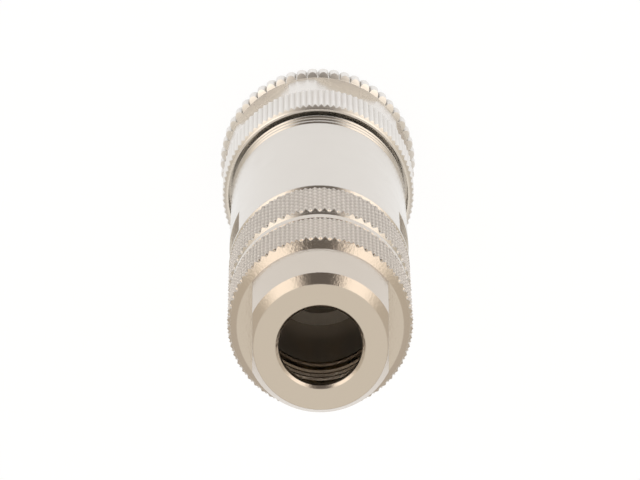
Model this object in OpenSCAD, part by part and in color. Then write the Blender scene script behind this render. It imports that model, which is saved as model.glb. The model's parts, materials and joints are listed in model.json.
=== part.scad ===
// Field-attachable female M12 cable connector with a shielded metal housing.
// Millimetres. Z runs from the mating end, which stands on the ground, up to the cable entry.

/* [Housing diameter] */
// diameter of the grip sleeve, from which the other outside diameters step
body_diameter = 18.1; // [17:0.1:20]
// radial gap between the nut's skirt and the sleeve
skirt_gap = 0.32; // [0.2:0.02:0.5]
// wall of the nut's skirt, up to the knurl tips
skirt_wall = 0.63; // [0.5:0.01:1]
// height of the beads above the nut's knurl tips
bead_rise = 0.33; // [0:0.01:0.5]

/* [Coupling nut] */
// length of the coupling nut
nut_length = 11.8; // [10:0.1:14]
// length of the straight knurl at the skirt end
nut_knurl_length = 5.8; // [3:0.1:6.5]
// teeth of the straight knurl
nut_knurl_teeth = 98; // [60:2:120]
// depth of the straight knurl teeth
nut_knurl_depth = 0.24; // [0.1:0.02:0.4]
// length of the beaded front ring
bead_ring_length = 2.1; // [1.5:0.1:4]
// beads around the front ring
bead_count = 54; // [36:2:56]
// diameter of one bead
bead_diameter = 1.04; // [0.8:0.02:1.08]
// depth of the spanner waist's flats below the knurl tips
waist_depth = 0.95; // [0.7:0.05:1.7]
// nominal diameter of the coupling thread
thread_diameter = 12; // [11:0.1:13]
// depth of the coupling thread
thread_length = 6.7; // [5:0.1:8]
// lead-in bevel of the coupling thread
thread_bevel = 0.3; // [0.2:0.05:0.6]
// axial play of the nut on its shell
nut_play = 0.3; // [0.1:0.05:0.5]

/* [Front shell] */
// step from the coupling thread out to the neck that carries the nut
neck_step = 0.9; // [0.6:0.05:1.4]
// length of that neck
neck_length = 2.7; // [2.3:0.1:4]
// thickness of the shell's flange
flange_thickness = 1; // [0.7:0.1:1.6]
// length from the flange to the shell's cable end
shell_tail_length = 5; // [4:0.1:7]
// wall behind the snap ring's groove
groove_wall = 0.75; // [0.5:0.05:1]
// depth of the shell's front hole, which guides the plug
front_wall = 1.7; // [1.2:0.1:2.2]
// wire diameter of the nut's snap ring
snap_wire_diameter = 0.9; // [0.7:0.05:1.1]
// opening of the snap ring, in degrees
snap_ring_gap = 30; // [15:5:60]

/* [Body sleeve] */
// length of the grip sleeve
body_length = 30.9; // [29:0.1:36]
// wall of the sleeve around the spacer
sleeve_wall = 0.975; // [0.8:0.025:1.4]
// depth of the sleeve's two spanner flats
body_flat_depth = 1; // [0.6:0.05:1.1]
// length of the sleeve's spanner flats
body_flat_length = 5.65; // [4:0.05:8]
// width of the collar between those flats and the knurl
body_collar_width = 0.4; // [0.2:0.05:1]
// step from the sleeve down to the root of its diamond knurl
body_knurl_step = 0.3; // [0.25:0.05:0.6]
// length of the sleeve's diamond knurl
body_knurl_length = 6.7; // [4:0.1:7.5]
// step from the sleeve down to its rear end
body_neck_step = 0.55; // [0.5:0.05:0.6]
// length of the rear end behind the knurl
body_neck_length = 0.5; // [0.5:0.05:1.5]
// wall of the rear end around the nose thread
body_neck_wall = 1.35; // [1.2:0.05:1.4]
// grooves turned behind the coupling nut
ring_groove_count = 3; // [0:1:5]
// spacing of those grooves
ring_groove_pitch = 0.9; // [0.6:0.05:1.2]
// depth of those grooves
ring_groove_depth = 0.22; // [0.1:0.02:0.4]
// distance of the first groove from the nut
ring_groove_offset = 0.75; // [0.4:0.05:1.5]

/* [Diamond knurls] */
// diamonds around each diamond knurl
knurl_count = 60; // [40:2:66]
// height of the diamonds
knurl_depth = 0.32; // [0.12:0.01:0.4]

/* [Cap nut] */
// length of the cap nut's head
cap_length = 13.25; // [12.5:0.05:16]
// gap between the cap's head and the sleeve
cap_gap = 0.3; // [0.1:0.05:2]
// step from the sleeve down to the plain rim of the cap
cap_rim_step = 0.17; // [0.05:0.01:0.4]
// length of that rim
cap_rim_length = 1.35; // [0.6:0.05:2.5]
// step from the sleeve down to the root of the cap's diamond knurl
cap_knurl_step = 0.32; // [0.2:0.01:0.5]
// length of the cap's diamond knurl
cap_knurl_length = 5.95; // [3:0.05:6.5]
// step from the sleeve down to the smooth barrel of the cap
cap_barrel_step = 0.95; // [0.8:0.05:1.4]
// taper of the smooth barrel towards the cable end
cap_barrel_taper = 0.9; // [0.2:0.05:1]
// height of the shoulder between barrel and knurl
cap_shoulder_height = 0.55; // [0.2:0.05:0.8]
// radial width of the bevel round the end face
cap_bevel_width = 0.75; // [0.3:0.05:1]
// height of the bevel round the end face
cap_bevel_height = 1.2; // [0.4:0.05:1.6]
// depth of the cap's two spanner flats
cap_flat_depth = 1.55; // [0.9:0.05:1.6]
// wall between a spanner flat and the cap's throat
cap_flat_wall = 0.65; // [0.5:0.05:0.9]
// length of the cable hole's straight lip
lip_length = 0.8; // [0.5:0.05:1.2]
// bevel at the mouth of the cable hole
lip_bevel = 0.28; // [0.1:0.02:0.5]
// length of the cap's threaded nose inside the sleeve
nose_length = 7.65; // [7:0.05:9]
// wall of the nose at its tip, under its thread
nose_wall = 0.8; // [0.7:0.05:1]
// widening of the nose's bore towards the throat
nose_flare = 0.34; // [0.1:0.02:0.4]
// turned grooves in the throat
throat_groove_count = 3; // [0:1:4]
// spacing of those grooves
throat_groove_pitch = 1; // [0.7:0.05:1]
// depth of those grooves
throat_groove_depth = 0.3; // [0.1:0.05:0.4]
// plain length between those grooves and the spanner flats' wall
throat_land = 1.1; // [0.5:0.05:1.5]
// step of the counterbore in which the grooves are turned
throat_step = 0.2; // [0.15:0.05:0.3]
// plain length of that counterbore below the grooves
throat_step_length = 1; // [0.5:0.05:1.5]

/* [Contact insert] */
// diameter of the mating plug
plug_diameter = 8.4; // [8:0.05:8.6]
// recess of the plug's face behind the nut's face
plug_recess = 0.9; // [0.3:0.1:2]
// width of the coding keyway
keyway_width = 1.1; // [0.8:0.05:1.4]
// depth of the coding keyway
keyway_depth = 0.7; // [0.4:0.05:1]
// length of the contact carrier behind the mating end of the shell
carrier_tail_length = 5; // [4:0.1:6]
// thickness of the plug's face over the contacts
plug_face_thickness = 0.5; // [0.4:0.05:0.8]
// diameter of the circle that the contacts stand on
contact_circle_diameter = 5; // [4.8:0.1:5.4]
// bore of a contact for the mating pin
socket_bore = 1.04; // [1:0.01:1.1]
// depth of that bore
socket_depth = 5; // [4:0.1:6]
// outside diameter of a contact's socket
socket_diameter = 1.7; // [1.5:0.05:1.8]
// width of the slot that springs the socket
socket_slot_width = 0.2; // [0.1:0.05:0.3]
// outside diameter of a contact's wire barrel
barrel_diameter = 2.6; // [2.2:0.1:2.8]
// bore of the barrel for the stripped wire
wire_bore = 1.7; // [1.2:0.1:1.9]
// step of the terminal block's foot
block_foot_step = 0.4; // [0.3:0.05:0.6]
// thread diameter of a terminal screw
screw_diameter = 1.9; // [1.6:0.1:2.1]
// head diameter of a terminal screw
screw_head_diameter = 2.5; // [2.2:0.1:2.9]
// recess of a screw's head in the terminal block
screw_recess = 0.25; // [0.1:0.05:0.5]
// width of a screw's slot
screw_slot_width = 0.4; // [0.3:0.05:0.6]

/* [Cable clamp and seals] */
// wall of the spacer sleeve round the terminals
spacer_wall = 1.4; // [1:0.05:1.6]
// step from the cage's ring in to the tips of its fingers
finger_taper = 0.35; // [0.2:0.05:0.5]
// thickness of a clamping finger at its tip
finger_thickness = 0.75; // [0.6:0.05:0.9]
// clamping fingers of the cage
cage_finger_count = 8; // [6:1:12]
// width of the slots between the fingers
cage_slot_width = 0.9; // [0.6:0.1:1.4]
// thickness of the clamping cage's ring
cage_ring_thickness = 1.6; // [1.2:0.1:2.2]
// radial room between the cable hole's size and the cage's bore
cage_room = 0.45; // [0.2:0.05:0.6]
// length of the cable seal
seal_length = 5.9; // [4.5:0.1:6.5]
// thickness of the seal's flange
seal_flange_thickness = 1.2; // [0.8:0.1:1.6]
// wall of the cable seal, which leaves the cable hole its size
seal_wall = 1.05; // [0.7:0.05:1.5]
// radial room between the cable hole's size and the seal's bore
seal_room = 0.1; // [0.05:0.05:0.3]
// height of one shield clamping ring
shield_ring_height = 1.75; // [1.3:0.05:2.4]
// height of the cone on which the two shield rings pinch the braid
shield_cone_height = 0.6; // [0.3:0.05:0.9]
// radial room between the cable hole's size and the shield rings' bore
shield_room = 0.55; // [0.3:0.05:0.8]
// cord diameter of the sleeve's sealing ring
sleeve_seal_cord = 1.1; // [0.9:0.05:1.2]
// cord diameter of the mating face's sealing ring
face_seal_cord = 1; // [0.8:0.05:1.1]

/* [Clearances] */
// radial running clearance of turning and threaded pieces
running_gap = 0.1; // [0.04:0.01:0.15]
// radial gap of loosely placed inner pieces
loose_gap = 0.15; // [0.05:0.01:0.2]
// axial gap where faces meet
face_gap = 0.05; // [0.02:0.01:0.1]
// small bevel that breaks the turned edges
edge_bevel = 0.2; // [0.1:0.05:0.3]
// depth of the housing's fine threads, between whose plain root and crest walls the turns stand
screw_depth = 0.45; // [0.3:0.05:0.5]

/* [Hidden] */
$fn = 96;
cut = 1;

// heights of the stack, from the mating face up
neck_z = thread_length + nut_play;
snap_z = neck_z + neck_length / 2;
snap_groove = snap_wire_diameter + edge_bevel;
flange_z = neck_z + neck_length;
tail_z = flange_z + flange_thickness;
body_z = tail_z + face_gap;
shell_end_z = tail_z + shell_tail_length;
plug_step_z = neck_z + front_wall;
block_z = neck_z + carrier_tail_length;
body_end_z = body_z + body_length;
cap_z = body_end_z + cap_gap;
total_length = cap_z + cap_length;
cage_end_z = cap_z - nose_length;
cage_ring_z = cage_end_z - cage_ring_thickness;
seal_z = cage_ring_z - face_gap - seal_length;
finger_z = seal_z + seal_flange_thickness + 2 * loose_gap;
shield_mid_z = seal_z - face_gap - shield_ring_height;
shield_z = shield_mid_z - shield_ring_height;
spacer_z = shell_end_z + 2 * face_gap;
block_end_z = shield_z - 2 * face_gap;

// radii, each stepping from the one that it fits
body_r = body_diameter / 2;
skirt_r = body_r + skirt_gap;
nut_knurl_r = skirt_r + skirt_wall;
bead_ring_r = nut_knurl_r + bead_rise;
sleeve_bore_r = body_r - sleeve_wall;
shell_r = sleeve_bore_r - loose_gap / 2;
shell_root_r = shell_r - screw_depth;
stack_r = shell_root_r - face_gap;
stack_bore_r = stack_r + running_gap;
block_r = stack_r - spacer_wall - running_gap;
block_foot_r = block_r + block_foot_step;
body_knurl_r = body_r - body_knurl_step;
body_neck_r = body_r - body_neck_step;
sleeve_thread_r = body_neck_r - body_neck_wall;
nose_r = sleeve_thread_r - running_gap;
nose_root_r = nose_r - screw_depth;
nose_bore_r = nose_root_r - nose_wall;
throat_bore_r = nose_bore_r + nose_flare;
grip_r = nose_root_r - finger_taper;
seal_r = grip_r - loose_gap - finger_thickness - loose_gap;
body_knurl_edge_r = body_knurl_r + face_gap / 2;
cable_r = seal_r - seal_wall - seal_room;
cap_barrel_r = body_r - cap_barrel_step;
cap_across_flats = 2 * (cap_barrel_r - cap_flat_depth);
body_across_flats = 2 * (body_r - body_flat_depth);
nut_across_flats = 2 * (nut_knurl_r - waist_depth);
thread_r = thread_diameter / 2;
neck_r = thread_r + neck_step;
neck_groove_r = neck_r - 0.6 * snap_wire_diameter;
carrier_r = neck_groove_r - groove_wall;
plug_r = plug_diameter / 2;
contact_r = contact_circle_diameter / 2;

// places of the contacts and of their terminal screws
contact_angles = [45, 135, 225, 315];
screw_z = (shell_end_z + block_end_z) / 2;
screw_head_r = contact_r + barrel_diameter / 2 + block_foot_step;
screw_head_height = block_r - screw_head_r - screw_recess;
screw_tip_r = contact_r + loose_gap;

module turned(points) {
  rotate_extrude() polygon(points);
}

module flats(across, r, z, h) {
  for (side = [-1, 1])
    translate([side * (across / 2 + r), 0, z + h / 2]) cube([2 * r, 4 * r, h], center = true);
}

// A ring of pyramids with bevelled ends. Root and tip points alternate on a grid that is split
// along its root lines, and the end tips are drawn in by the height of the diamonds.
module diamond_band(r, z, h) {
  n = 2 * knurl_count;
  rows = 2 * round(h * knurl_count / (2 * PI * r));
  inner_r = r - 2 * knurl_depth;
  skin = [for (j = [0 : rows], i = [0 : n - 1])
    let (
      lift = (i + j) % 2 * knurl_depth,
      pull = j == 0 ? lift : j == rows ? -lift : 0,
      a = i * 360 / n)
      [(r + lift) * cos(a), (r + lift) * sin(a), z + pull + j * h / rows]];
  inner = [for (end = [0, h], k = [0 : knurl_count - 1])
    [inner_r * cos(k * 360 / knurl_count), inner_r * sin(k * 360 / knurl_count), z + end]];
  low = n * (rows + 1);
  top = low + knurl_count;
  function at(i, j) = j * n + i % n;
  function on(k) = (k + 1) % knurl_count;
  cells = [for (j = [0 : rows - 1], i = [0 : n - 1])
    (i + j) % 2 == 0
      ? [[at(i, j), at(i + 1, j + 1), at(i + 1, j)], [at(i, j), at(i, j + 1), at(i + 1, j + 1)]]
      : [[at(i, j), at(i, j + 1), at(i + 1, j)], [at(i + 1, j), at(i, j + 1), at(i + 1, j + 1)]]];
  polyhedron(
    points = concat(skin, inner),
    faces = concat(
      [for (cell = cells, face = cell) face],
      [for (i = [0 : 2 : n - 2]) [at(i, 0), at(i + 1, 0), at(i + 2, 0)]],
      [for (i = [0 : 2 : n - 2]) [at(i + 2, rows), at(i + 1, rows), at(i, rows)]],
      [for (k = [0 : knurl_count - 1]) [at(2 * k, 0), at(2 * k + 2, 0), low + on(k), low + k]],
      [for (k = [0 : knurl_count - 1])
        [at(2 * k, rows), top + k, top + on(k), at(2 * k + 2, rows)]],
      [for (k = [0 : knurl_count - 1]) [low + k, low + on(k), top + on(k), top + k]]));
}

/* Coupling nut */

module bevelled_disc(r, h, bevel) {
  turned([[0, 0], [r - bevel, 0], [r, bevel], [r, h - bevel], [r - bevel, h], [0, h]]);
}

module bead_ring() {
  bead_r = bead_diameter / 2;
  intersection() {
    linear_extrude(bead_ring_length) {
      circle(r = bead_ring_r - bead_r);
      for (i = [0 : bead_count - 1])
        rotate(i * 360 / bead_count) translate([bead_ring_r - bead_r, 0])
          circle(r = bead_r, $fn = 24);
    }
    bevelled_disc(bead_ring_r + face_gap, bead_ring_length, bead_r);
  }
}

module straight_knurl() {
  step = 180 / nut_knurl_teeth;
  intersection() {
    linear_extrude(nut_knurl_length)
      polygon([for (i = [0 : 2 * nut_knurl_teeth - 1])
        (nut_knurl_r - (i % 2) * nut_knurl_depth) * [cos(i * step), sin(i * step)]]);
    bevelled_disc(nut_knurl_r + face_gap, nut_knurl_length, 2 * nut_knurl_depth);
  }
}

module spanner_waist() {
  low = bead_ring_length / 2;
  h = nut_length - nut_knurl_length / 2 - low;
  translate([0, 0, low]) intersection() {
    cylinder(r = nut_knurl_r - nut_knurl_depth, h = h);
    rotate(40) cylinder(r = nut_across_flats / 2 / cos(30), h = h, $fn = 6);
  }
}

module nut_bore() {
  skirt_z = flange_z - nut_play;
  bore_r = neck_r + running_gap;
  groove_r = bore_r + 0.6 * snap_wire_diameter;
  low = snap_z - snap_groove / 2;
  turned([
    [0, -cut], [thread_r + thread_bevel + cut, -cut], [thread_r, thread_bevel],
    [thread_r, thread_length], [bore_r, thread_length], [bore_r, low], [groove_r, low],
    [groove_r, low + snap_groove], [bore_r, low + snap_groove], [bore_r, skirt_z],
    [skirt_r, skirt_z], [skirt_r, nut_length + cut], [0, nut_length + cut]]);
}

module coupling_nut() {
  color("Silver") difference() {
    union() {
      bead_ring();
      spanner_waist();
      translate([0, 0, nut_length - nut_knurl_length]) straight_knurl();
    }
    nut_bore();
  }
}

/* Front shell and its rings */

module front_shell() {
  flange_r = body_r - face_gap;
  seal_groove_r = shell_r - 0.8 * sleeve_seal_cord;
  seal_top = tail_z + sleeve_seal_cord + 2 * face_gap;
  collar_z = seal_top + 2 * edge_bevel;
  low = snap_z - snap_groove / 2;
  color("Silver") difference() {
    turned([
      [0, neck_z], [neck_r - edge_bevel, neck_z], [neck_r, neck_z + edge_bevel], [neck_r, low],
      [neck_groove_r, low], [neck_groove_r, low + snap_groove], [neck_r, low + snap_groove],
      [neck_r, flange_z], [flange_r - edge_bevel, flange_z], [flange_r, flange_z + edge_bevel],
      [flange_r, tail_z], [seal_groove_r, tail_z], [seal_groove_r, seal_top], [shell_r, seal_top],
      [shell_r, collar_z], [shell_root_r, collar_z], [shell_root_r, shell_end_z - edge_bevel],
      [shell_root_r - edge_bevel, shell_end_z],
      [0, shell_end_z]]);
    turned([
      [0, neck_z - cut], [plug_r + loose_gap, neck_z - cut], [plug_r + loose_gap, plug_step_z],
      [carrier_r + loose_gap / 2, plug_step_z], [carrier_r + loose_gap / 2, block_z],
      [block_foot_r + loose_gap / 2, block_z], [block_foot_r + loose_gap / 2, shell_end_z + cut],
      [0, shell_end_z + cut]]);
  }
}

module snap_ring() {
  color("DimGray") translate([0, 0, snap_z]) rotate(snap_ring_gap / 2)
    rotate_extrude(angle = 360 - snap_ring_gap)
      translate([neck_r + running_gap / 2, 0]) circle(d = snap_wire_diameter);
}

module sleeve_seal() {
  mid_r = sleeve_bore_r + edge_bevel + face_gap - sleeve_seal_cord / 2;
  color("DarkSlateGray") translate([0, 0, body_z + sleeve_seal_cord / 2])
    rotate_extrude() translate([mid_r, 0]) circle(d = sleeve_seal_cord);
}

module face_seal() {
  color("Tomato") translate([0, 0, neck_z - face_seal_cord / 2])
    rotate_extrude() translate([plug_r + face_gap + face_seal_cord / 2, 0])
      circle(d = face_seal_cord);
}

/* Contact insert */

module at_contacts() {
  for (turn = contact_angles) rotate(turn) translate([contact_r, 0, 0]) children();
}

module contact_carrier() {
  keyway_length = neck_z - face_seal_cord - plug_recess;
  color("DimGray") difference() {
    turned([
      [0, plug_recess], [plug_r - edge_bevel, plug_recess], [plug_r, plug_recess + edge_bevel],
      [plug_r, plug_step_z + face_gap], [carrier_r, plug_step_z + face_gap],
      [carrier_r, block_z - face_gap], [0, block_z - face_gap]]);
    translate([0, 0, -cut]) at_contacts() cylinder(d = socket_bore + loose_gap, h = block_z);
    translate([0, 0, plug_recess + plug_face_thickness]) at_contacts()
      cylinder(d = socket_diameter + loose_gap, h = block_z);
    translate([0, plug_r, plug_recess + (keyway_length - cut) / 2])
      cube([keyway_width, 2 * keyway_depth, keyway_length + cut], center = true);
  }
}

module at_screws() {
  for (turn = contact_angles)
    rotate(turn) translate([0, 0, screw_z]) rotate([0, 90, 0]) children();
}

module terminal_block() {
  color("DarkSlateGray") difference() {
    turned([
      [0, block_z], [block_foot_r, block_z], [block_foot_r, shell_end_z + face_gap],
      [block_r, shell_end_z + face_gap], [block_r, block_end_z - 2 * edge_bevel],
      [block_r - 2 * edge_bevel, block_end_z], [0, block_end_z]]);
    translate([0, 0, block_z - cut]) at_contacts()
      cylinder(d = barrel_diameter + loose_gap, h = block_end_z - block_z + 2 * cut);
    at_screws() cylinder(d = screw_diameter + loose_gap, h = block_r + cut);
    at_screws() translate([0, 0, screw_head_r - face_gap])
      cylinder(d = screw_head_diameter + loose_gap, h = block_r);
  }
}

module socket_contact(i) {
  tip = plug_recess + plug_face_thickness + face_gap;
  barrel_z = block_z + face_gap;
  barrel_end = block_end_z - edge_bevel;
  color("Gold") rotate(contact_angles[i - 1]) difference() {
    translate([contact_r, 0, 0]) {
      translate([0, 0, tip]) cylinder(d = socket_diameter, h = barrel_z - tip + edge_bevel);
      translate([0, 0, barrel_z]) cylinder(d = barrel_diameter, h = barrel_end - barrel_z);
    }
    translate([contact_r, 0, tip - cut]) cylinder(d = socket_bore, h = socket_depth + cut);
    translate([contact_r, 0, tip + (socket_depth - 2 * cut) / 2])
      cube([2 * socket_diameter, socket_slot_width, socket_depth], center = true);
    translate([contact_r, 0, shell_end_z + cut]) cylinder(d = wire_bore, h = block_end_z);
    translate([contact_r, 0, screw_z]) rotate([0, 90, 0])
      cylinder(d = screw_diameter + loose_gap / 2, h = barrel_diameter);
  }
}

module contact_1() { socket_contact(1); }
module contact_2() { socket_contact(2); }
module contact_3() { socket_contact(3); }
module contact_4() { socket_contact(4); }

module terminal_screws() {
  color("Silver") at_screws() difference() {
    union() {
      translate([0, 0, screw_tip_r])
        cylinder(d = screw_diameter, h = screw_head_r - screw_tip_r + face_gap);
      translate([0, 0, screw_head_r]) cylinder(d = screw_head_diameter, h = screw_head_height);
    }
    translate([0, 0, screw_head_r + screw_head_height])
      cube([screw_head_diameter * 2, screw_slot_width, screw_head_height], center = true);
  }
}

/* Spacer, shield rings, seal and clamping cage */

module spacer_sleeve() {
  r_in = block_r + running_gap;
  color("Ivory") turned([
    [r_in, spacer_z], [stack_r, spacer_z], [stack_r, shield_z - face_gap],
    [r_in, shield_z - face_gap]]);
}

module shield_ring_front() {
  r_in = cable_r + shield_room;
  top = shield_mid_z - face_gap;
  color("Gray") turned([
    [r_in, shield_z], [stack_r, shield_z], [stack_r, top - shield_cone_height], [r_in, top]]);
}

module shield_ring_rear() {
  r_in = cable_r + shield_room;
  top = shield_mid_z + shield_ring_height;
  color("Gray") turned([
    [r_in, shield_mid_z], [stack_r, shield_mid_z - shield_cone_height], [stack_r, top],
    [r_in, top]]);
}

module cable_seal() {
  r_in = cable_r + seal_room;
  flange_r = grip_r - loose_gap;
  step_z = seal_z + seal_flange_thickness;
  color("DarkGray") turned([
    [r_in, seal_z], [flange_r, seal_z], [flange_r, step_z], [seal_r, step_z],
    [seal_r, seal_z + seal_length], [r_in, seal_z + seal_length]]);
}

module clamping_cage() {
  r_in = cable_r + cage_room;
  finger_in_r = seal_r + loose_gap;
  color("Gray") difference() {
    turned([
      [r_in, cage_ring_z], [finger_in_r, cage_ring_z], [finger_in_r, finger_z],
      [grip_r - loose_gap, finger_z], [nose_root_r, cage_ring_z], [nose_root_r, cage_end_z],
      [r_in, cage_end_z]]);
    for (i = [0 : cage_finger_count - 1]) rotate(i * 360 / cage_finger_count)
      translate([0, -cage_slot_width / 2, finger_z - cut])
        cube([nose_root_r + cut, cage_slot_width, cage_ring_z - edge_bevel - finger_z + cut]);
  }
}

/* Body sleeve */

module ring_grooves() {
  floor_r = body_r - ring_groove_depth;
  for (i = [0 : ring_groove_count - 1])
    translate([0, 0, nut_length + ring_groove_offset + i * ring_groove_pitch])
      turned([
        [floor_r, 0], [body_r + cut, -ring_groove_depth - cut],
        [body_r + cut, 2 * ring_groove_depth + cut], [floor_r, ring_groove_depth]]);
}

module body_sleeve() {
  knurl_end = body_end_z - body_neck_length;
  knurl_z = knurl_end - body_knurl_length;
  flat_z = knurl_z - body_knurl_step - body_collar_width - body_flat_length;
  core_r = body_knurl_r - knurl_depth / 2;
  pocket_r = sleeve_bore_r + edge_bevel + 2 * face_gap;
  pocket_z = body_z + sleeve_seal_cord + 2 * face_gap;
  color("Silver") difference() {
    union() {
      turned([
        [0, body_z], [body_r - edge_bevel, body_z], [body_r, body_z + edge_bevel],
        [body_r, knurl_z - body_knurl_step], [body_knurl_edge_r, knurl_z], [core_r, knurl_z],
        [core_r, knurl_end], [body_knurl_edge_r, knurl_end],
        [body_neck_r, knurl_end + body_neck_step - body_knurl_step],
        [body_neck_r, body_end_z - edge_bevel], [body_neck_r - edge_bevel, body_end_z],
        [0, body_end_z]]);
      diamond_band(body_knurl_r, knurl_z, body_knurl_length);
    }
    turned([
      [0, body_z - cut], [pocket_r, body_z - cut], [pocket_r, pocket_z],
      [sleeve_bore_r, pocket_z + edge_bevel], [sleeve_bore_r, shell_end_z],
      [stack_bore_r, shell_end_z + face_gap], [stack_bore_r, seal_z], [grip_r, seal_z],
      [grip_r, finger_z], [nose_root_r + running_gap, cage_ring_z + running_gap],
      [sleeve_thread_r, cage_ring_z + running_gap + screw_depth],
      [sleeve_thread_r, body_end_z - edge_bevel],
      [sleeve_thread_r + edge_bevel + cut, body_end_z + cut], [0, body_end_z + cut]]);
    flats(body_across_flats, body_r, flat_z, body_flat_length);
    if (ring_groove_count > 0) ring_grooves();
  }
}

/* Cap nut */

module cap_outside() {
  rim_r = body_r - cap_rim_step;
  root_r = body_r - cap_knurl_step;
  core_r = root_r - knurl_depth / 2;
  edge_r = root_r + face_gap / 2;
  knurl_z = cap_z + cap_rim_length;
  shoulder_z = knurl_z + cap_knurl_length;
  top_r = cap_barrel_r - cap_barrel_taper;
  turned([
    [0, cage_end_z], [nose_root_r - edge_bevel, cage_end_z],
    [nose_root_r, cage_end_z + edge_bevel], [nose_root_r, cap_z],
    [rim_r - edge_bevel, cap_z], [rim_r, cap_z + edge_bevel], [rim_r, knurl_z - edge_bevel],
    [edge_r, knurl_z], [core_r, knurl_z], [core_r, shoulder_z],
    [edge_r, shoulder_z], [cap_barrel_r, shoulder_z + cap_shoulder_height],
    [top_r, total_length - cap_bevel_height], [top_r - cap_bevel_width, total_length],
    [0, total_length]]);
  diamond_band(root_r, knurl_z, cap_knurl_length);
}

module cap_inside() {
  recess_r = throat_bore_r + throat_step;
  recess_end = cap_z + cap_rim_length + cap_knurl_length;
  groove_z = recess_end - throat_land - throat_groove_count * throat_groove_pitch;
  recess_z = groove_z - throat_step_length;
  throat_r = cap_across_flats / 2 - cap_flat_wall;
  lip_z = total_length - lip_bevel - lip_length;
  grooves = [for (i = [0 : throat_groove_count - 1], p = [[0, 0], [0.25, 1], [0.5, 1], [0.75, 0]])
    [recess_r + throat_groove_depth * p[1], groove_z + (i + p[0]) * throat_groove_pitch]];
  turned(concat(
    [[0, cage_end_z - cut], [nose_bore_r, cage_end_z - cut], [nose_bore_r, cage_end_z]],
    [[throat_bore_r, recess_z - throat_step], [recess_r, recess_z]], grooves,
    [[recess_r, recess_end], [throat_r, recess_end + recess_r - throat_r],
      [throat_r, lip_z - (throat_r - cable_r)], [cable_r, lip_z],
      [cable_r, total_length - lip_bevel], [cable_r + lip_bevel + cut, total_length + cut],
      [0, total_length + cut]]));
}

module cap_nut() {
  flat_z = cap_z + cap_rim_length + cap_knurl_length + cap_shoulder_height;
  color("Silver") difference() {
    cap_outside();
    cap_inside();
    flats(cap_across_flats, body_r, flat_z, total_length - flat_z + cut);
  }
}

coupling_nut();
front_shell();
snap_ring();
sleeve_seal();
face_seal();
contact_carrier();
terminal_block();
contact_1();
contact_2();
contact_3();
contact_4();
terminal_screws();
spacer_sleeve();
shield_ring_front();
shield_ring_rear();
cable_seal();
clamping_cage();
body_sleeve();
cap_nut();
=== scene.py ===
"""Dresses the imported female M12 cable connector and sets up its studio.

Every length is in metres unless its name ends in _mm. Z is the connector's axis.
"""

import json
import logging
import math
from abc import ABC, abstractmethod
from dataclasses import dataclass
from enum import Enum
from typing import Any, Protocol

import bpy
from mathutils import Matrix, Vector

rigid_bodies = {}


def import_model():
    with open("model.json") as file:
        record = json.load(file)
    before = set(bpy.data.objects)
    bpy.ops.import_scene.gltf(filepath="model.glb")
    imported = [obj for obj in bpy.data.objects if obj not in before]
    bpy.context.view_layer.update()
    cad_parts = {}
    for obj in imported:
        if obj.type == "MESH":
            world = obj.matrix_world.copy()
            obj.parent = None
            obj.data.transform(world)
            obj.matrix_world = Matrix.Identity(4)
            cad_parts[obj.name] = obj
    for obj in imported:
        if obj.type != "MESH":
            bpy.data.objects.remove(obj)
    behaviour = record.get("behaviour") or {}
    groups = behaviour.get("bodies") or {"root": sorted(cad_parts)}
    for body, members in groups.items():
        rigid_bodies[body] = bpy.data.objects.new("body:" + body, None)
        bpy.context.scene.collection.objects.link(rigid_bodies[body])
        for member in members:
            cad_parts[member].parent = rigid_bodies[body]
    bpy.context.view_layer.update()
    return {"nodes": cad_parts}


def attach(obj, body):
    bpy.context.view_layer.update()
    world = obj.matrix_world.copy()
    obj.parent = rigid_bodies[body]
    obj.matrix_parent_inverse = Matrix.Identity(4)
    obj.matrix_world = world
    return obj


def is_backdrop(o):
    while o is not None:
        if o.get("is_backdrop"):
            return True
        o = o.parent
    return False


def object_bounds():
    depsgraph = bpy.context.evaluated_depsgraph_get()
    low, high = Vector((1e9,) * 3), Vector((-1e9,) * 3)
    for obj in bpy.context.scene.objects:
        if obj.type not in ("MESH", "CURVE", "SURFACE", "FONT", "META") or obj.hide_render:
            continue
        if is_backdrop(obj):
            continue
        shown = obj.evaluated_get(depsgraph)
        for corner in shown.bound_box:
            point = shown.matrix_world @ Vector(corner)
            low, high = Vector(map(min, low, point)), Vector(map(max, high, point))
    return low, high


log = logging.getLogger("m12_connector")
MM = 0.001
WHITE = "FFFFFF"
# corners of the section of a thread's ridge
RIDGE_CORNERS = 4

Colour = tuple[float, float, float, float]
Tree = bpy.types.NodeTree
Socket = bpy.types.NodeSocket


class Body(Enum):
    """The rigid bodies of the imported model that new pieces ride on."""

    INSERT = "insert"
    NUT = "coupling_nut"
    SLEEVE = "sleeve"
    CAP = "cap"


class Side(Enum):
    """Which way the ridge of a thread stands from its wall."""

    INWARDS = -1
    OUTWARDS = 1


def linear(code: str) -> Colour:
    """Turns an sRGB hex colour into linear light.

    Args:
        code: Six hex digits.

    Returns:
        Linear red, green and blue, and an alpha of one.
    """
    shares = [int(code[i : i + 2], 16) / 255 for i in (0, 2, 4)]
    red, green, blue = (
        s / 12.92 if s <= 0.04045 else ((s + 0.055) / 1.055) ** 2.4 for s in shares
    )
    return red, green, blue, 1.0


def add(
    tree: Tree,
    kind: str,
    settings: dict[str | int, Any] | None = None,
    links: dict[str | int, Socket] | None = None,
) -> bpy.types.Node:
    """Adds a node with its settings and links.

    Args:
        tree: The tree that takes the node.
        kind: The node's type name.
        settings: Values by property name, or by the name or number of an input.
        links: The socket that feeds each input, by the input's name or number.

    Returns:
        The new node.
    """
    node = tree.nodes.new(kind)
    for key, value in (settings or {}).items():
        if isinstance(key, str) and hasattr(node, key):
            setattr(node, key, value)
        else:
            node.inputs[key].default_value = value
    for key, socket in (links or {}).items():
        tree.links.new(socket, node.inputs[key])
    return node


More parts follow.
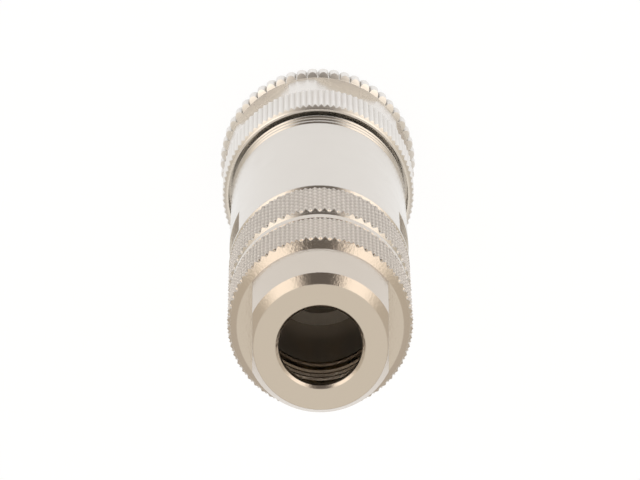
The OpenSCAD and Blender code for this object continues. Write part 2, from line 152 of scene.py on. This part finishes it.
def blank_material(name: str) -> bpy.types.Material:
    """Makes a material with an empty node tree.

    Args:
        name: The material's name.

    Returns:
        The material.
    """
    material = bpy.data.materials.new(name)
    material.use_nodes = True
    material.node_tree.nodes.clear()
    return material


def round_the_axis(tree: Tree) -> tuple[Socket, Socket, Socket]:
    """Gives the place of a point relative to the connector's axis.

    Args:
        tree: The material's node tree.

    Returns:
        The object coordinates, the distance from the axis and the height.
    """
    place = add(tree, "ShaderNodeTexCoord").outputs["Object"]
    parts = add(tree, "ShaderNodeSeparateXYZ", links={0: place}).outputs
    flat = add(tree, "ShaderNodeCombineXYZ", links={0: parts[0], 1: parts[1]})
    radius = add(tree, "ShaderNodeVectorMath", {"operation": "LENGTH"}, {0: flat.outputs[0]})
    return place, radius.outputs["Value"], parts[2]


@dataclass(frozen=True)
class Knurl:
    """A knurled or beaded band, with a painted highlight on its tips and painted shade in its
    roots.
    """

    low_mm: float
    high_mm: float
    root_mm: float
    tip_mm: float
    # how far the band reaches in under its roots, and how softly it fades out there
    reach_mm: float = 0.08
    reach_fade_mm: float = 0.04
    # how softly it fades out at its lower and upper ends
    end_fade_mm: float = 0.05

    def masks(self, tree: Tree, radius: Socket, height: Socket) -> tuple[Socket, Socket]:
        """Tells the knurl from everything else, and its roots from its tips.

        Args:
            tree: The material's node tree.
            radius: The distance from the axis.
            height: The height along the axis.

        Returns:
            One all over the knurl and nought elsewhere, and the same for its roots alone,
            which take the painted shade.
        """
        inner_mm = self.root_mm - self.reach_mm
        # a coordinate, where its share is nought, and where its share is one
        steps = (
            (radius, inner_mm - self.reach_fade_mm, inner_mm),
            (height, self.low_mm, self.low_mm + self.end_fade_mm),
            (height, self.high_mm, self.high_mm - self.end_fade_mm),
            (radius, self.tip_mm, self.root_mm),
        )
        masks: list[Socket] = []
        for value, out, within in steps:
            share = add(
                tree,
                "ShaderNodeMapRange",
                {"From Min": out * MM, "From Max": within * MM},
                {"Value": value},
            ).outputs[0]
            if masks:
                share = add(
                    tree, "ShaderNodeMath", {"operation": "MULTIPLY"}, {0: masks[-1], 1: share}
                ).outputs[0]
            masks.append(share)
        return masks[-2], masks[-1]


class Finish(Protocol):
    """A surface finish that can be made into a material."""

    @property
    def name(self) -> str:
        """Gives the material's name."""

    def material(self) -> bpy.types.Material:
        """Makes the finish's material."""


@dataclass(frozen=True)
class Plating:
    """Plating on turned metal, such as bright nickel on a brass nut.

    The eye gets a mirror in the metal's own tone that is softened by lathe rings round the
    axis and by the fine grain of a tumbled and plated surface. The plating rounds the edges.
    """

    name: str
    colour: str = "D4CDC0"
    roughness: float = 0.2
    # spread of the roughness between polished and duller patches, and the size of a patch
    patchiness: float = 0.08
    patch_mm: float = 2.5
    # noise between a fully polished patch and a fully dull one
    patch_span: tuple[float, float] = (0.35, 0.7)
    # feed of the lathe tool; real marks are 0.05 mm apart, drawn coarser so that they show
    feed_mm: float = 0.16
    feed_depth_mm: float = 0.0012
    # grain of the tumbled blank; a real one is about 0.05 mm, drawn coarser so that it shows
    grain_mm: float = 0.14
    grain_depth_mm: float = 0.0028
    # radius to which tumbling and plating round the edges
    edge_mm: float = 0.05
    knurls: tuple[Knurl, ...] = ()
    # colours of the painted highlight over a knurl's tips and of the painted shade in its
    # roots
    tip_highlight_colour: str = "FCFBFC"
    root_shade_colour: str = "D0CECD"
    # roughness of a knurl, which is rolled and not polished
    knurl_roughness: float = 0.78
    # deep bores under this radius, where the plating is thin and dull; none at nought
    bore_mm: float = 0.0
    # how metallic the plating still looks there
    bore_metallic: float = 0.45
    # height from which a bore is as bright as the outside
    mouth_mm: float = 0.0
    bore_fade_mm: float = 0.1

    def material(self) -> bpy.types.Material:
        """Makes the plating with its rings, grain and rounded edges.

        Returns:
            The material.
        """
        made = blank_material(self.name)
        tree = made.node_tree
        place, radius, height = round_the_axis(tree)
        rough = self._patches(tree, place)
        colour, colour_links = self._knurled(tree, radius, height, rough)
        metal, metal_links = self._metallic(tree, radius, height)
        relief = self._relief(tree, place, radius, height)
        shader = add(
            tree,
            "ShaderNodeBsdfPrincipled",
            colour | metal,
            {"Normal": relief} | colour_links | metal_links,
        )
        add(tree, "ShaderNodeOutputMaterial", links={"Surface": shader.outputs[0]})
        return made

    def _relief(self, tree: Tree, place: Socket, radius: Socket, height: Socket) -> Socket:
        """Raises the lathe rings and the grain over the rounded edges.

        Args:
            tree: The material's node tree.
            place: The object coordinates.
            radius: The distance from the axis.
            height: The height along the axis.

        Returns:
            The normal of the finished surface.
        """
        section = add(tree, "ShaderNodeCombineXYZ", links={0: radius, 1: height}).outputs[0]
        rings = add(
            tree,
            "ShaderNodeTexNoise",
            {"Scale": 1 / (self.feed_mm * MM), "Detail": 2.0, "Roughness": 0.6},
            {"Vector": section},
        )
        grain = add(
            tree,
            "ShaderNodeTexNoise",
            {"Scale": 1 / (self.grain_mm * MM), "Detail": 3.0, "Roughness": 0.65},
            {"Vector": place},
        )
        edge = add(tree, "ShaderNodeBevel", {"samples": 4, "Radius": self.edge_mm * MM})
        turned = add(
            tree,
            "ShaderNodeBump",
            {"Distance": self.feed_depth_mm * MM},
            {"Height": rings.outputs[0], "Normal": edge.outputs[0]},
        )
        tumbled = add(
            tree,
            "ShaderNodeBump",
            {"Distance": self.grain_depth_mm * MM},
            {"Height": grain.outputs[0], "Normal": turned.outputs[0]},
        )
        return tumbled.outputs[0]

    def _patches(self, tree: Tree, place: Socket) -> Socket:
        """Spreads the roughness between polished and duller patches.

        Args:
            tree: The material's node tree.
            place: The object coordinates.

        Returns:
            The roughness away from the knurls.
        """
        patches = add(
            tree,
            "ShaderNodeTexNoise",
            {"Scale": 1 / (self.patch_mm * MM), "Detail": 4.0, "Roughness": 0.6},
            {"Vector": place},
        )
        return add(
            tree,
            "ShaderNodeMapRange",
            {
                "From Min": self.patch_span[0],
                "From Max": self.patch_span[1],
                "To Min": self.roughness - self.patchiness / 2,
                "To Max": self.roughness + self.patchiness / 2,
            },
            {"Value": patches.outputs[0]},
        ).outputs[0]

    def _knurled(
        self, tree: Tree, radius: Socket, height: Socket, rough: Socket
    ) -> tuple[dict[str, Any], dict[str, Socket]]:
        """Gives the plating's colour and roughness: a knurl is rougher, with a painted
        highlight over it and painted shade in its roots.

        Args:
            tree: The material's node tree.
            radius: The distance from the axis.
            height: The height along the axis.
            rough: The roughness away from the knurls.

        Returns:
            The settings and the links of the shader's inputs.
        """
        settings: dict[str, Any] = {"Base Color": linear(self.colour)}
        links: dict[str, Socket] = {"Roughness": rough}
        for knurl in self.knurls:
            band, roots = knurl.masks(tree, radius, height)
            # painted highlight over the whole knurl, then painted shade in its roots
            for share, code in ((band, self.tip_highlight_colour), (roots, self.root_shade_colour)):
                below = links.get("Base Color")
                links["Base Color"] = add(
                    tree,
                    "ShaderNodeMix",
                    {"data_type": "RGBA", 6: linear(self.colour), 7: linear(code)},
                    {0: share} | ({6: below} if below else {}),
                ).outputs[2]
            links["Roughness"] = add(
                tree,
                "ShaderNodeMix",
                {3: self.knurl_roughness},
                {0: band, 2: links["Roughness"]},
            ).outputs[0]
        return settings, links

    def _metallic(
        self, tree: Tree, radius: Socket, height: Socket
    ) -> tuple[dict[str, Any], dict[str, Socket]]:
        """Gives how metallic the plating is, less so deep in a bore.

        Args:
            tree: The material's node tree.
            radius: The distance from the axis.
            height: The height along the axis.

        Returns:
            The settings and the links of the shader's input.
        """
        if not self.bore_mm:
            return {"Metallic": 1.0}, {}
        outside = add(
            tree,
            "ShaderNodeMapRange",
            {
                "From Min": self.bore_mm * MM,
                "From Max": (self.bore_mm + self.bore_fade_mm) * MM,
                "To Min": self.bore_metallic,
            },
            {"Value": radius},
        )
        mouth = add(
            tree,
            "ShaderNodeMapRange",
            {
                "From Min": (self.mouth_mm - self.bore_fade_mm) * MM,
                "From Max": self.mouth_mm * MM,
            },
            {"Value": height},
        )
        either = add(
            tree,
            "ShaderNodeMath",
            {"operation": "MAXIMUM"},
            {0: outside.outputs[0], 1: mouth.outputs[0]},
        )
        return {}, {"Metallic": either.outputs[0]}


@dataclass(frozen=True)
class Moulding:
    """A moulded plastic or rubber, with the fine texture of its mould.

    The eye gets a dull body colour with a broken sheen and slight shade changes.
    """

    name: str
    colour: str
    roughness: float
    # spread of the roughness between glossier and duller patches, and the size of a patch
    patchiness: float = 0.16
    patch_mm: float = 1.8
    # how dark the darker patches are against the lighter ones
    dark_share: float = 0.86
    # spark-eroded mould texture; a real one is about 0.05 mm, drawn coarser so that it shows
    texture_mm: float = 0.12
    texture_depth_mm: float = 0.004

    def material(self) -> bpy.types.Material:
        """Makes the moulding with its texture and shade changes.

        Returns:
            The material.
        """
        made = blank_material(self.name)
        tree = made.node_tree
        place = add(tree, "ShaderNodeTexCoord").outputs["Object"]
        texture = add(
            tree,
            "ShaderNodeTexNoise",
            {"Scale": 1 / (self.texture_mm * MM), "Detail": 3.0, "Roughness": 0.6},
            {"Vector": place},
        )
        patches = add(
            tree,
            "ShaderNodeTexNoise",
            {"Scale": 1 / (self.patch_mm * MM), "Detail": 3.0},
            {"Vector": place},
        )
        light = linear(self.colour)
        dark = tuple(self.dark_share * channel for channel in light[:3]) + (1.0,)
        shade = add(
            tree,
            "ShaderNodeMix",
            {"data_type": "RGBA", 6: dark, 7: light},
            {0: patches.outputs[0]},
        )
        rough = add(
            tree,
            "ShaderNodeMapRange",
            {
                "To Min": self.roughness - self.patchiness / 2,
                "To Max": self.roughness + self.patchiness / 2,
            },
            {"Value": patches.outputs[0]},
        )
        bump = add(
            tree,
            "ShaderNodeBump",
            {"Distance": self.texture_depth_mm * MM},
            {"Height": texture.outputs[0]},
        )
        shader = add(
            tree,
            "ShaderNodeBsdfPrincipled",
            links={
                "Base Color": shade.outputs[2],
                "Roughness": rough.outputs[0],
                "Normal": bump.outputs[0],
            },
        )
        add(tree, "ShaderNodeOutputMaterial", links={"Surface": shader.outputs[0]})
        return made


NICKEL_NUT = Plating(
    "bright_nickel_on_knurled_brass_nut",
    colour="E9E5E1",
    roughness=0.27,
    grain_depth_mm=0.003,
    knurls=(
        Knurl(low_mm=6.05, high_mm=11.8, root_mm=9.76, tip_mm=10.0),
        Knurl(low_mm=0.0, high_mm=2.1, root_mm=9.9, tip_mm=10.33),
    ),
    # painted highlight on the knurl and beads, and painted shade in their roots
    tip_highlight_colour="F0EDEA",
    root_shade_colour="DBD7D2",
    knurl_roughness=0.34,
)
NICKEL_SHELL = Plating("bright_nickel_on_brass_shell", roughness=0.24)
NICKEL_SLEEVE = Plating(
    "bright_nickel_on_brass_sleeve",
    colour="D7D2CC",
    roughness=0.18,
    grain_mm=0.25,
    grain_depth_mm=0.006,
    edge_mm=0.12,
    # its knurl gets a painted highlight on the tips and painted shade in the roots
    knurls=(Knurl(low_mm=34.45, high_mm=40.85, root_mm=8.75, tip_mm=9.07),),
)
NICKEL_CAP = Plating(
    "bright_nickel_on_brass_cap",
    colour="D0C7BD",
    roughness=0.13,
    grain_mm=0.26,
    grain_depth_mm=0.025,
    edge_mm=0.12,
    # its knurl gets a painted highlight on the tips and painted shade in the roots
    knurls=(Knurl(low_mm=43.3, high_mm=48.95, root_mm=8.73, tip_mm=9.05),),
    bore_mm=6.25,
    mouth_mm=43.6,
)
MATT_NICKEL = Plating(
    "matt_nickel_on_brass_shield_ring", colour="C9C4BA", roughness=0.42, grain_depth_mm=0.005
)
GOLD = Plating(
    "gold_on_turned_contact", colour="E8C069", roughness=0.24, feed_mm=0.1, edge_mm=0.02
)
SPRING_STEEL = Plating(
    "drawn_spring_steel_wire", colour="9C9C9E", roughness=0.32, feed_mm=0.1, edge_mm=0.02
)
ZINC_STEEL = Plating(
    "zinc_plated_steel_screw", colour="B9BDC2", roughness=0.34, feed_mm=0.12, edge_mm=0.03
)
BLACK_RUBBER = Moulding("black_nitrile_rubber", "1C1C1D", 0.62)
RED_RUBBER = Moulding("red_fluoro_rubber", "A63B22", 0.5)
GREY_RUBBER = Moulding("grey_chloroprene_rubber", "A8A39A", 0.66)
BLACK_PLASTIC = Moulding("black_glass_filled_polyamide", "202022", 0.48)
CAGE_PLASTIC = Moulding("pale_polyamide_cage", "F6EFE6", 0.5)
SPACER_PLASTIC = Moulding("pale_polyamide_spacer", "D9D5CA", 0.45)


def put_on(obj: bpy.types.Object, finish: Finish) -> None:
    """Gives every material slot of an object one finish.

    Args:
        obj: The object to dress.
        finish: The finish that it gets.
    """
    made = bpy.data.materials.get(finish.name) or finish.material()
    if not obj.material_slots:
        obj.data.materials.append(made)
    for slot in obj.material_slots:
        slot.material = made


@dataclass(frozen=True)
class Thread:
    """The sizes of one fine metric screw thread, which stands on a plain wall."""

    wall_mm: float
    low_mm: float
    high_mm: float
    depth_mm: float = 0.42
    pitch_mm: float = 1.0
    # half the width of the ridge, as shares of the pitch
    foot_share: float = 0.42
    crest_share: float = 1 / 16
    # how far the ridge's foot is sunk into the wall
    sink_mm: float = 0.02

    @property
    def foot_mm(self) -> float:
        """Gives half the width of the ridge's foot."""
        return self.foot_share * self.pitch_mm

    @property
    def crest_mm(self) -> float:
        """Gives half the width of the ridge's crest."""
        return self.crest_share * self.pitch_mm

    @property
    def turns(self) -> float:
        """Gives how often the ridge goes round between its ends."""
        return (self.high_mm - self.low_mm - 2 * self.foot_mm) / self.pitch_mm


@dataclass
class ThreadRidge:
    """The helical ridge of a screw thread."""

    name: str
    size: Thread
    side: Side
    body: Body
    finish: Finish
    slot: str
    steps_per_turn: int = 72
    # faces that meet at less than this angle are shaded as one
    smooth_deg: float = 30

    def build(self) -> bpy.types.Object:
        """Sweeps the ridge's section along its helix.

        Returns:
            The ridge, riding on its body.
        """
        piece = self._section()
        self._sweep(piece)
        self._close()
        bpy.ops.object.shade_smooth_by_angle(angle=math.radians(self.smooth_deg))
        put_on(piece, self.finish)
        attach(piece, self.body.value)
        return piece

    def _section(self) -> bpy.types.Object:
        """Draws the ridge's four-cornered section at its lower end.

        Returns:
            The section, upright beside the axis.
        """
        bpy.ops.object.select_all(action="DESELECT")
        half_mm = self.size.depth_mm / 2
        middle_mm = self.size.wall_mm + self.side.value * (half_mm - self.size.sink_mm)
        bpy.ops.mesh.primitive_circle_add(
            vertices=RIDGE_CORNERS,
            radius=math.sqrt(2) * half_mm * MM,
            location=(middle_mm * MM, 0, (self.size.low_mm + self.size.foot_mm) * MM),
            rotation=(math.pi / 2, math.pi / 4, 0),
        )
        piece = bpy.context.object
        piece.name = piece.data.name = self.name
        bpy.ops.object.transform_apply(location=True, rotation=True, scale=True)
        self._set_width(piece, at_crest=False, half_width=self.size.foot_mm * MM)
        self._set_width(piece, at_crest=True, half_width=self.size.crest_mm * MM)
        return piece

    def _set_width(self, piece: bpy.types.Object, at_crest: bool, half_width: float) -> None:
        """Sets the width of the section at its crest or at its foot.

        Args:
            piece: The section before it is swept.
            at_crest: True for the crest, False for the foot.
            half_width: Half of the wanted width.
        """
        bpy.ops.object.mode_set(mode="EDIT")
        bpy.ops.mesh.select_all(action="DESELECT")
        bpy.ops.object.mode_set(mode="OBJECT")
        points = piece.data.vertices
        middle = sum((point.co for point in points), Vector()) / len(points)
        for point in points:
            outer = point.co.x > middle.x
            point.select = (outer == (self.side is Side.OUTWARDS)) == at_crest
        now = max(point.co.z for point in points if point.select) - middle.z
        bpy.ops.object.mode_set(mode="EDIT")
        bpy.ops.transform.resize(value=(1, 1, half_width / now), center_override=middle)
        bpy.ops.object.mode_set(mode="OBJECT")

    def _sweep(self, piece: bpy.types.Object) -> None:
        """Winds the section up round the axis.

        Args:
            piece: The section, which becomes the ridge.
        """
        screw = piece.modifiers.new("helix", "SCREW")
        screw.axis = "Z"
        screw.angle = self.size.turns * 2 * math.pi
        screw.screw_offset = self.size.turns * self.size.pitch_mm * MM
        screw.steps = screw.render_steps = round(self.steps_per_turn * self.size.turns)
        screw.use_merge_vertices = False
        bpy.ops.object.modifier_apply(modifier=screw.name)

    def _close(self) -> None:
        """Closes the two ends of the swept ridge and turns its faces outwards."""
        bpy.ops.object.mode_set(mode="EDIT")
        bpy.ops.mesh.select_all(action="SELECT")
        bpy.ops.mesh.fill_holes(sides=RIDGE_CORNERS)
        bpy.ops.mesh.select_all(action="SELECT")
        bpy.ops.mesh.normals_make_consistent(inside=False)
        bpy.ops.object.mode_set(mode="OBJECT")


class SubAssembly(ABC):
    """A group of the connector's pieces: packed ones to dress, and threads to add."""

    @abstractmethod
    def finishes(self) -> dict[str, Finish]:
        """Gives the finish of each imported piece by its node's name."""

    def threads(self) -> list[ThreadRidge]:
        """Gives the threads that are added, which are none unless a group has its own."""
        return []

    def dress(self, nodes: dict[str, bpy.types.Object]) -> None:
        """Gives the group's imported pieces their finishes.

        Args:
            nodes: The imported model's objects by node name.
        """
        for node, finish in self.finishes().items():
            put_on(nodes[node], finish)
            log.info("%s: %s has %s", type(self).__name__, node, finish.name)

    def build(self) -> None:
        """Builds and dresses the group's threads."""
        for thread in self.threads():
            piece = thread.build()
            faces = len(piece.data.polygons)
            log.info("%s: %s, %d faces", type(self).__name__, piece.name, faces)


@dataclass
class Coupling(SubAssembly):
    """The coupling nut, and the snap ring that keeps it on the shell."""

    thread: Thread = Thread(wall_mm=6.0, low_mm=0.35, high_mm=6.6, depth_mm=0.54)

    def finishes(self) -> dict[str, Finish]:
        """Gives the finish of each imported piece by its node's name."""
        return {"coupling_nut": NICKEL_NUT, "snap_ring": SPRING_STEEL}

    def threads(self) -> list[ThreadRidge]:
        """Gives the female M12 thread of the nut."""
        return [
            ThreadRidge(
                "coupling_thread",
                self.thread,
                Side.INWARDS,
                Body.NUT,
                NICKEL_NUT,
                "nickel_nut",
            )
        ]


@dataclass
class Insert(SubAssembly):
    """The front shell with its seals, the contact carrier, the contacts and the terminals."""

    thread: Thread = Thread(wall_mm=7.55, low_mm=12.35, high_mm=15.65)
    contacts: int = 4

    def finishes(self) -> dict[str, Finish]:
        """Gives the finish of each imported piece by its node's name."""
        return {
            "front_shell": NICKEL_SHELL,
            "sleeve_seal": BLACK_RUBBER,
            "face_seal": RED_RUBBER,
            "contact_carrier": BLACK_PLASTIC,
            "terminal_block": BLACK_PLASTIC,
            "terminal_screws": ZINC_STEEL,
        } | {f"contact_{number}": GOLD for number in range(1, self.contacts + 1)}

    def threads(self) -> list[ThreadRidge]:
        """Gives the thread that the sleeve screws onto."""
        return [
            ThreadRidge(
                "shell_thread",
                self.thread,
                Side.OUTWARDS,
                Body.INSERT,
                NICKEL_SHELL,
                "nickel_shell",
            )
        ]


@dataclass
class SealStack(SubAssembly):
    """What the cap presses together round the cable: spacer, shield rings, seal and cage."""

    def finishes(self) -> dict[str, Finish]:
        """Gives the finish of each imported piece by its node's name."""
        return {
            "spacer_sleeve": SPACER_PLASTIC,
            "shield_ring_front": MATT_NICKEL,
            "shield_ring_rear": MATT_NICKEL,
            "cable_seal": GREY_RUBBER,
            "clamping_cage": CAGE_PLASTIC,
        }


@dataclass
class Housing(SubAssembly):
    """The grip sleeve and the cap nut that screws into it."""

    front_thread: Thread = Thread(wall_mm=8.075, low_mm=12.85, high_mm=15.65)
    rear_thread: Thread = Thread(wall_mm=7.15, low_mm=34.0, high_mm=41.3)
    nose_thread: Thread = Thread(wall_mm=6.6, low_mm=34.5, high_mm=41.8)

    def finishes(self) -> dict[str, Finish]:
        """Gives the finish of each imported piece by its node's name."""
        return {"body_sleeve": NICKEL_SLEEVE, "cap_nut": NICKEL_CAP}

    def threads(self) -> list[ThreadRidge]:
        """Gives the sleeve's threads for the shell and the cap, and the cap's own."""
        sleeve = (Side.INWARDS, Body.SLEEVE, NICKEL_SLEEVE, "nickel_sleeve")
        cap = (Side.OUTWARDS, Body.CAP, NICKEL_CAP, "nickel_cap")
        return [
            ThreadRidge("sleeve_front_thread", self.front_thread, *sleeve),
            ThreadRidge("sleeve_rear_thread", self.rear_thread, *sleeve),
            ThreadRidge("cap_nose_thread", self.nose_thread, *cap),
        ]


@dataclass(frozen=True)
class Stop:
    """The tone of the studio's surroundings at one bearing from the front."""

    bearing_deg: float
    colour: str
    strength: float = 1.0


@dataclass
class Studio:
    """The floor, the surroundings and the camera."""

    floor_size: float = 0.19
    # how far the floor lies under the nut, so that the two faces don't coincide
    floor_gap_mm: float = 0.02
    paper: str = "F4F4F3"
    # share of plain white in what the camera and mirrors see of the floor, and its strength,
    # which makes up for the share that is paper
    floor_white: float = 0.85
    floor_white_strength: float = 1.06
    walls: str = "FFFEFC"
    ceiling: str = "F5EFE3"
    # sines of the heights between which the walls give way to the ceiling
    ceiling_sines: tuple[float, float] = (0.45, 0.9)
    # round the horizon: a grey card in front, a softbox at each side of it, the room behind
    horizon: tuple[Stop, ...] = (
        Stop(0, "766F69"),
        Stop(15, "766F69"),
        Stop(30, "FFF4E6", 1.6),
        Stop(52, "FFF4E6", 1.6),
        Stop(72, "DCD2C1"),
        Stop(180, "D5CDC2"),
    )
    # heights between which the horizon gives way to the walls
    horizon_top_deg: tuple[float, float] = (34, 52)
    # strength that the stops of the horizon are written against
    full_strength: float = 2.0
    lens_mm: float = 264.5
    sensor_mm: float = 36.0
    tilt_deg: float = 20.0
    yaw_deg: float = -0.33
    # the cable face's centre from the camera: right, up and forward
    face_from_camera_mm: tuple[float, float, float] = (0.05, -10.268, 450.0)

    def build(self) -> None:
        """Sets up the whole studio."""
        self.set_camera()
        self.lay_floor()
        self.surround()
        bpy.context.scene.view_settings.view_transform = "Standard"
        log.info("studio: camera, floor and surroundings")

    def set_camera(self) -> None:
        """Looks at the cable end from above, with the connector's foot up in the frame."""
        tilt, yaw = math.radians(self.tilt_deg), math.radians(self.yaw_deg)
        # the way from the cable end to the foot, as right, up and forward of the camera
        footwards = Vector(
            (
                math.sin(yaw) * math.cos(tilt),
                math.sin(tilt),
                math.cos(tilt) * math.cos(yaw),
            )
        ).normalized()
        top = (Vector((0, 1, 0)) - footwards.y * footwards).normalized()
        right = top.cross(footwards)
        # rows turn a place given as right, up and forward of the camera into the row frame
        to_row = Matrix((-right, -top, -footwards))
        _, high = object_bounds()
        face = Vector((0, 0, high[2]))
        camera = bpy.data.objects.new("camera", bpy.data.cameras.new("camera"))
        bpy.context.scene.collection.objects.link(camera)
        camera.data.lens = self.lens_mm
        camera.data.sensor_width = self.sensor_mm
        place = face - to_row @ (Vector(self.face_from_camera_mm) * MM)
        turn = to_row @ Matrix(((1, 0, 0), (0, 1, 0), (0, 0, -1)))
        camera.matrix_world = Matrix.Translation(place) @ turn.to_4x4()
        bpy.context.scene.camera = camera

    def lay_floor(self) -> None:
        """Lays a matt white floor that keeps the object's shadow."""
        bpy.ops.object.select_all(action="DESELECT")
        bpy.ops.mesh.primitive_plane_add(
            size=self.floor_size, location=(0, 0, -self.floor_gap_mm * MM)
        )
        floor = bpy.context.object
        floor.name = "floor"
        bpy.ops.object.transform_apply(location=True, rotation=True, scale=True)
        paper = blank_material("matt_white_paper_floor")
        tree = paper.node_tree
        path = add(tree, "ShaderNodeLightPath").outputs
        rays: Socket = path["Is Camera Ray"]
        for kind in ("Is Glossy Ray", "Is Transmission Ray"):
            either = {0: rays, 1: path[kind]}
            rays = add(tree, "ShaderNodeMath", {"operation": "MAXIMUM"}, either).outputs[0]
        share = add(
            tree, "ShaderNodeMath", {"operation": "MULTIPLY", 1: self.floor_white}, {0: rays}
        )
        matt = add(tree, "ShaderNodeBsdfDiffuse", {"Color": linear(self.paper)})
        white = add(
            tree,
            "ShaderNodeEmission",
            {"Color": linear(WHITE), "Strength": self.floor_white_strength},
        )
        both = add(
            tree,
            "ShaderNodeMixShader",
            links={0: share.outputs[0], 1: matt.outputs[0], 2: white.outputs[0]},
        )
        add(tree, "ShaderNodeOutputMaterial", links={"Surface": both.outputs[0]})
        floor.data.materials.append(paper)
        floor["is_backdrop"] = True

    def surround(self) -> None:
        """Makes soft surroundings that metal mirrors, with plain white for the camera."""
        world = bpy.data.worlds.new("studio")
        bpy.context.scene.world = world
        world.use_nodes = True
        tree = world.node_tree
        tree.nodes.clear()
        way = add(tree, "ShaderNodeTexCoord").outputs["Generated"]
        height = add(tree, "ShaderNodeSeparateXYZ", links={0: way}).outputs[2]
        up = add(
            tree,
            "ShaderNodeMapRange",
            {
                "interpolation_type": "SMOOTHSTEP",
                "From Min": self.ceiling_sines[0],
                "From Max": self.ceiling_sines[1],
            },
            {"Value": height},
        )
        high = add(
            tree,
            "ShaderNodeMix",
            {"data_type": "RGBA", 6: linear(self.walls), 7: linear(self.ceiling)},
            {0: up.outputs[0]},
        )
        bottom, top = (math.sin(math.radians(angle)) for angle in self.horizon_top_deg)
        risen = add(
            tree,
            "ShaderNodeMapRange",
            {"interpolation_type": "SMOOTHSTEP", "From Min": bottom, "From Max": top},
            {"Value": height},
        )
        tones = add(
            tree,
            "ShaderNodeMix",
            {"data_type": "RGBA"},
            {0: risen.outputs[0], 6: self._horizon(tree, way), 7: high.outputs[2]},
        )
        camera_ray = add(tree, "ShaderNodeLightPath").outputs["Is Camera Ray"]
        mirrored = add(tree, "ShaderNodeBackground", links={"Color": tones.outputs[2]})
        plain = add(tree, "ShaderNodeBackground", {"Color": linear(WHITE)})
        both = add(
            tree,
            "ShaderNodeMixShader",
            links={0: camera_ray, 1: mirrored.outputs[0], 2: plain.outputs[0]},
        )
        add(tree, "ShaderNodeOutputWorld", links={"Surface": both.outputs[0]})

    def _horizon(self, tree: Tree, way: Socket) -> Socket:
        """Gives the tone of the horizon at the bearing of a direction.

        Args:
            tree: The world's node tree.
            way: The direction.

        Returns:
            The tone, at its strength.
        """
        level = add(
            tree, "ShaderNodeVectorMath", {"operation": "MULTIPLY", 1: (1, 1, 0)}, {0: way}
        )
        unit = add(
            tree, "ShaderNodeVectorMath", {"operation": "NORMALIZE"}, {0: level.outputs[0]}
        )
        front = add(
            tree,
            "ShaderNodeVectorMath",
            {"operation": "DOT_PRODUCT", 1: (0, -1, 0)},
            {0: unit.outputs[0]},
        )
        # nought at the back and one in front, by the cosine of the bearing
        bearing = add(
            tree,
            "ShaderNodeMapRange",
            {"From Min": -1.0, "From Max": 1.0},
            {"Value": front.outputs["Value"]},
        )
        ramp = add(tree, "ShaderNodeValToRGB", links={0: bearing.outputs[0]})
        self._set_stops(ramp.color_ramp)
        return add(
            tree,
            "ShaderNodeVectorMath",
            {"operation": "SCALE", "Scale": self.full_strength},
            {0: ramp.outputs[0]},
        ).outputs[0]

    def _set_stops(self, ramp: bpy.types.ColorRamp) -> None:
        """Writes the stops of the horizon into a colour ramp.

        Args:
            ramp: The ramp, which runs from the back to the front.
        """
        while len(ramp.elements) < len(self.horizon):
            ramp.elements.new(0.5)
        for element, stop in zip(ramp.elements, reversed(self.horizon), strict=True):
            share = stop.strength / self.full_strength
            element.position = (1 + math.cos(math.radians(stop.bearing_deg))) / 2
            element.color = [share * channel for channel in linear(stop.colour)[:3]] + [1.0]


def main() -> None:
    """Builds and dresses the connector in its studio."""
    logging.basicConfig(level=logging.INFO, format="%(message)s")
    for obj in list(bpy.data.objects):
        bpy.data.objects.remove(obj)
    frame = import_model()
    Studio().build()
    for group in (Coupling(), Insert(), SealStack(), Housing()):
        group.dress(frame["nodes"])
        group.build()


if __name__ == "__main__":
    main()
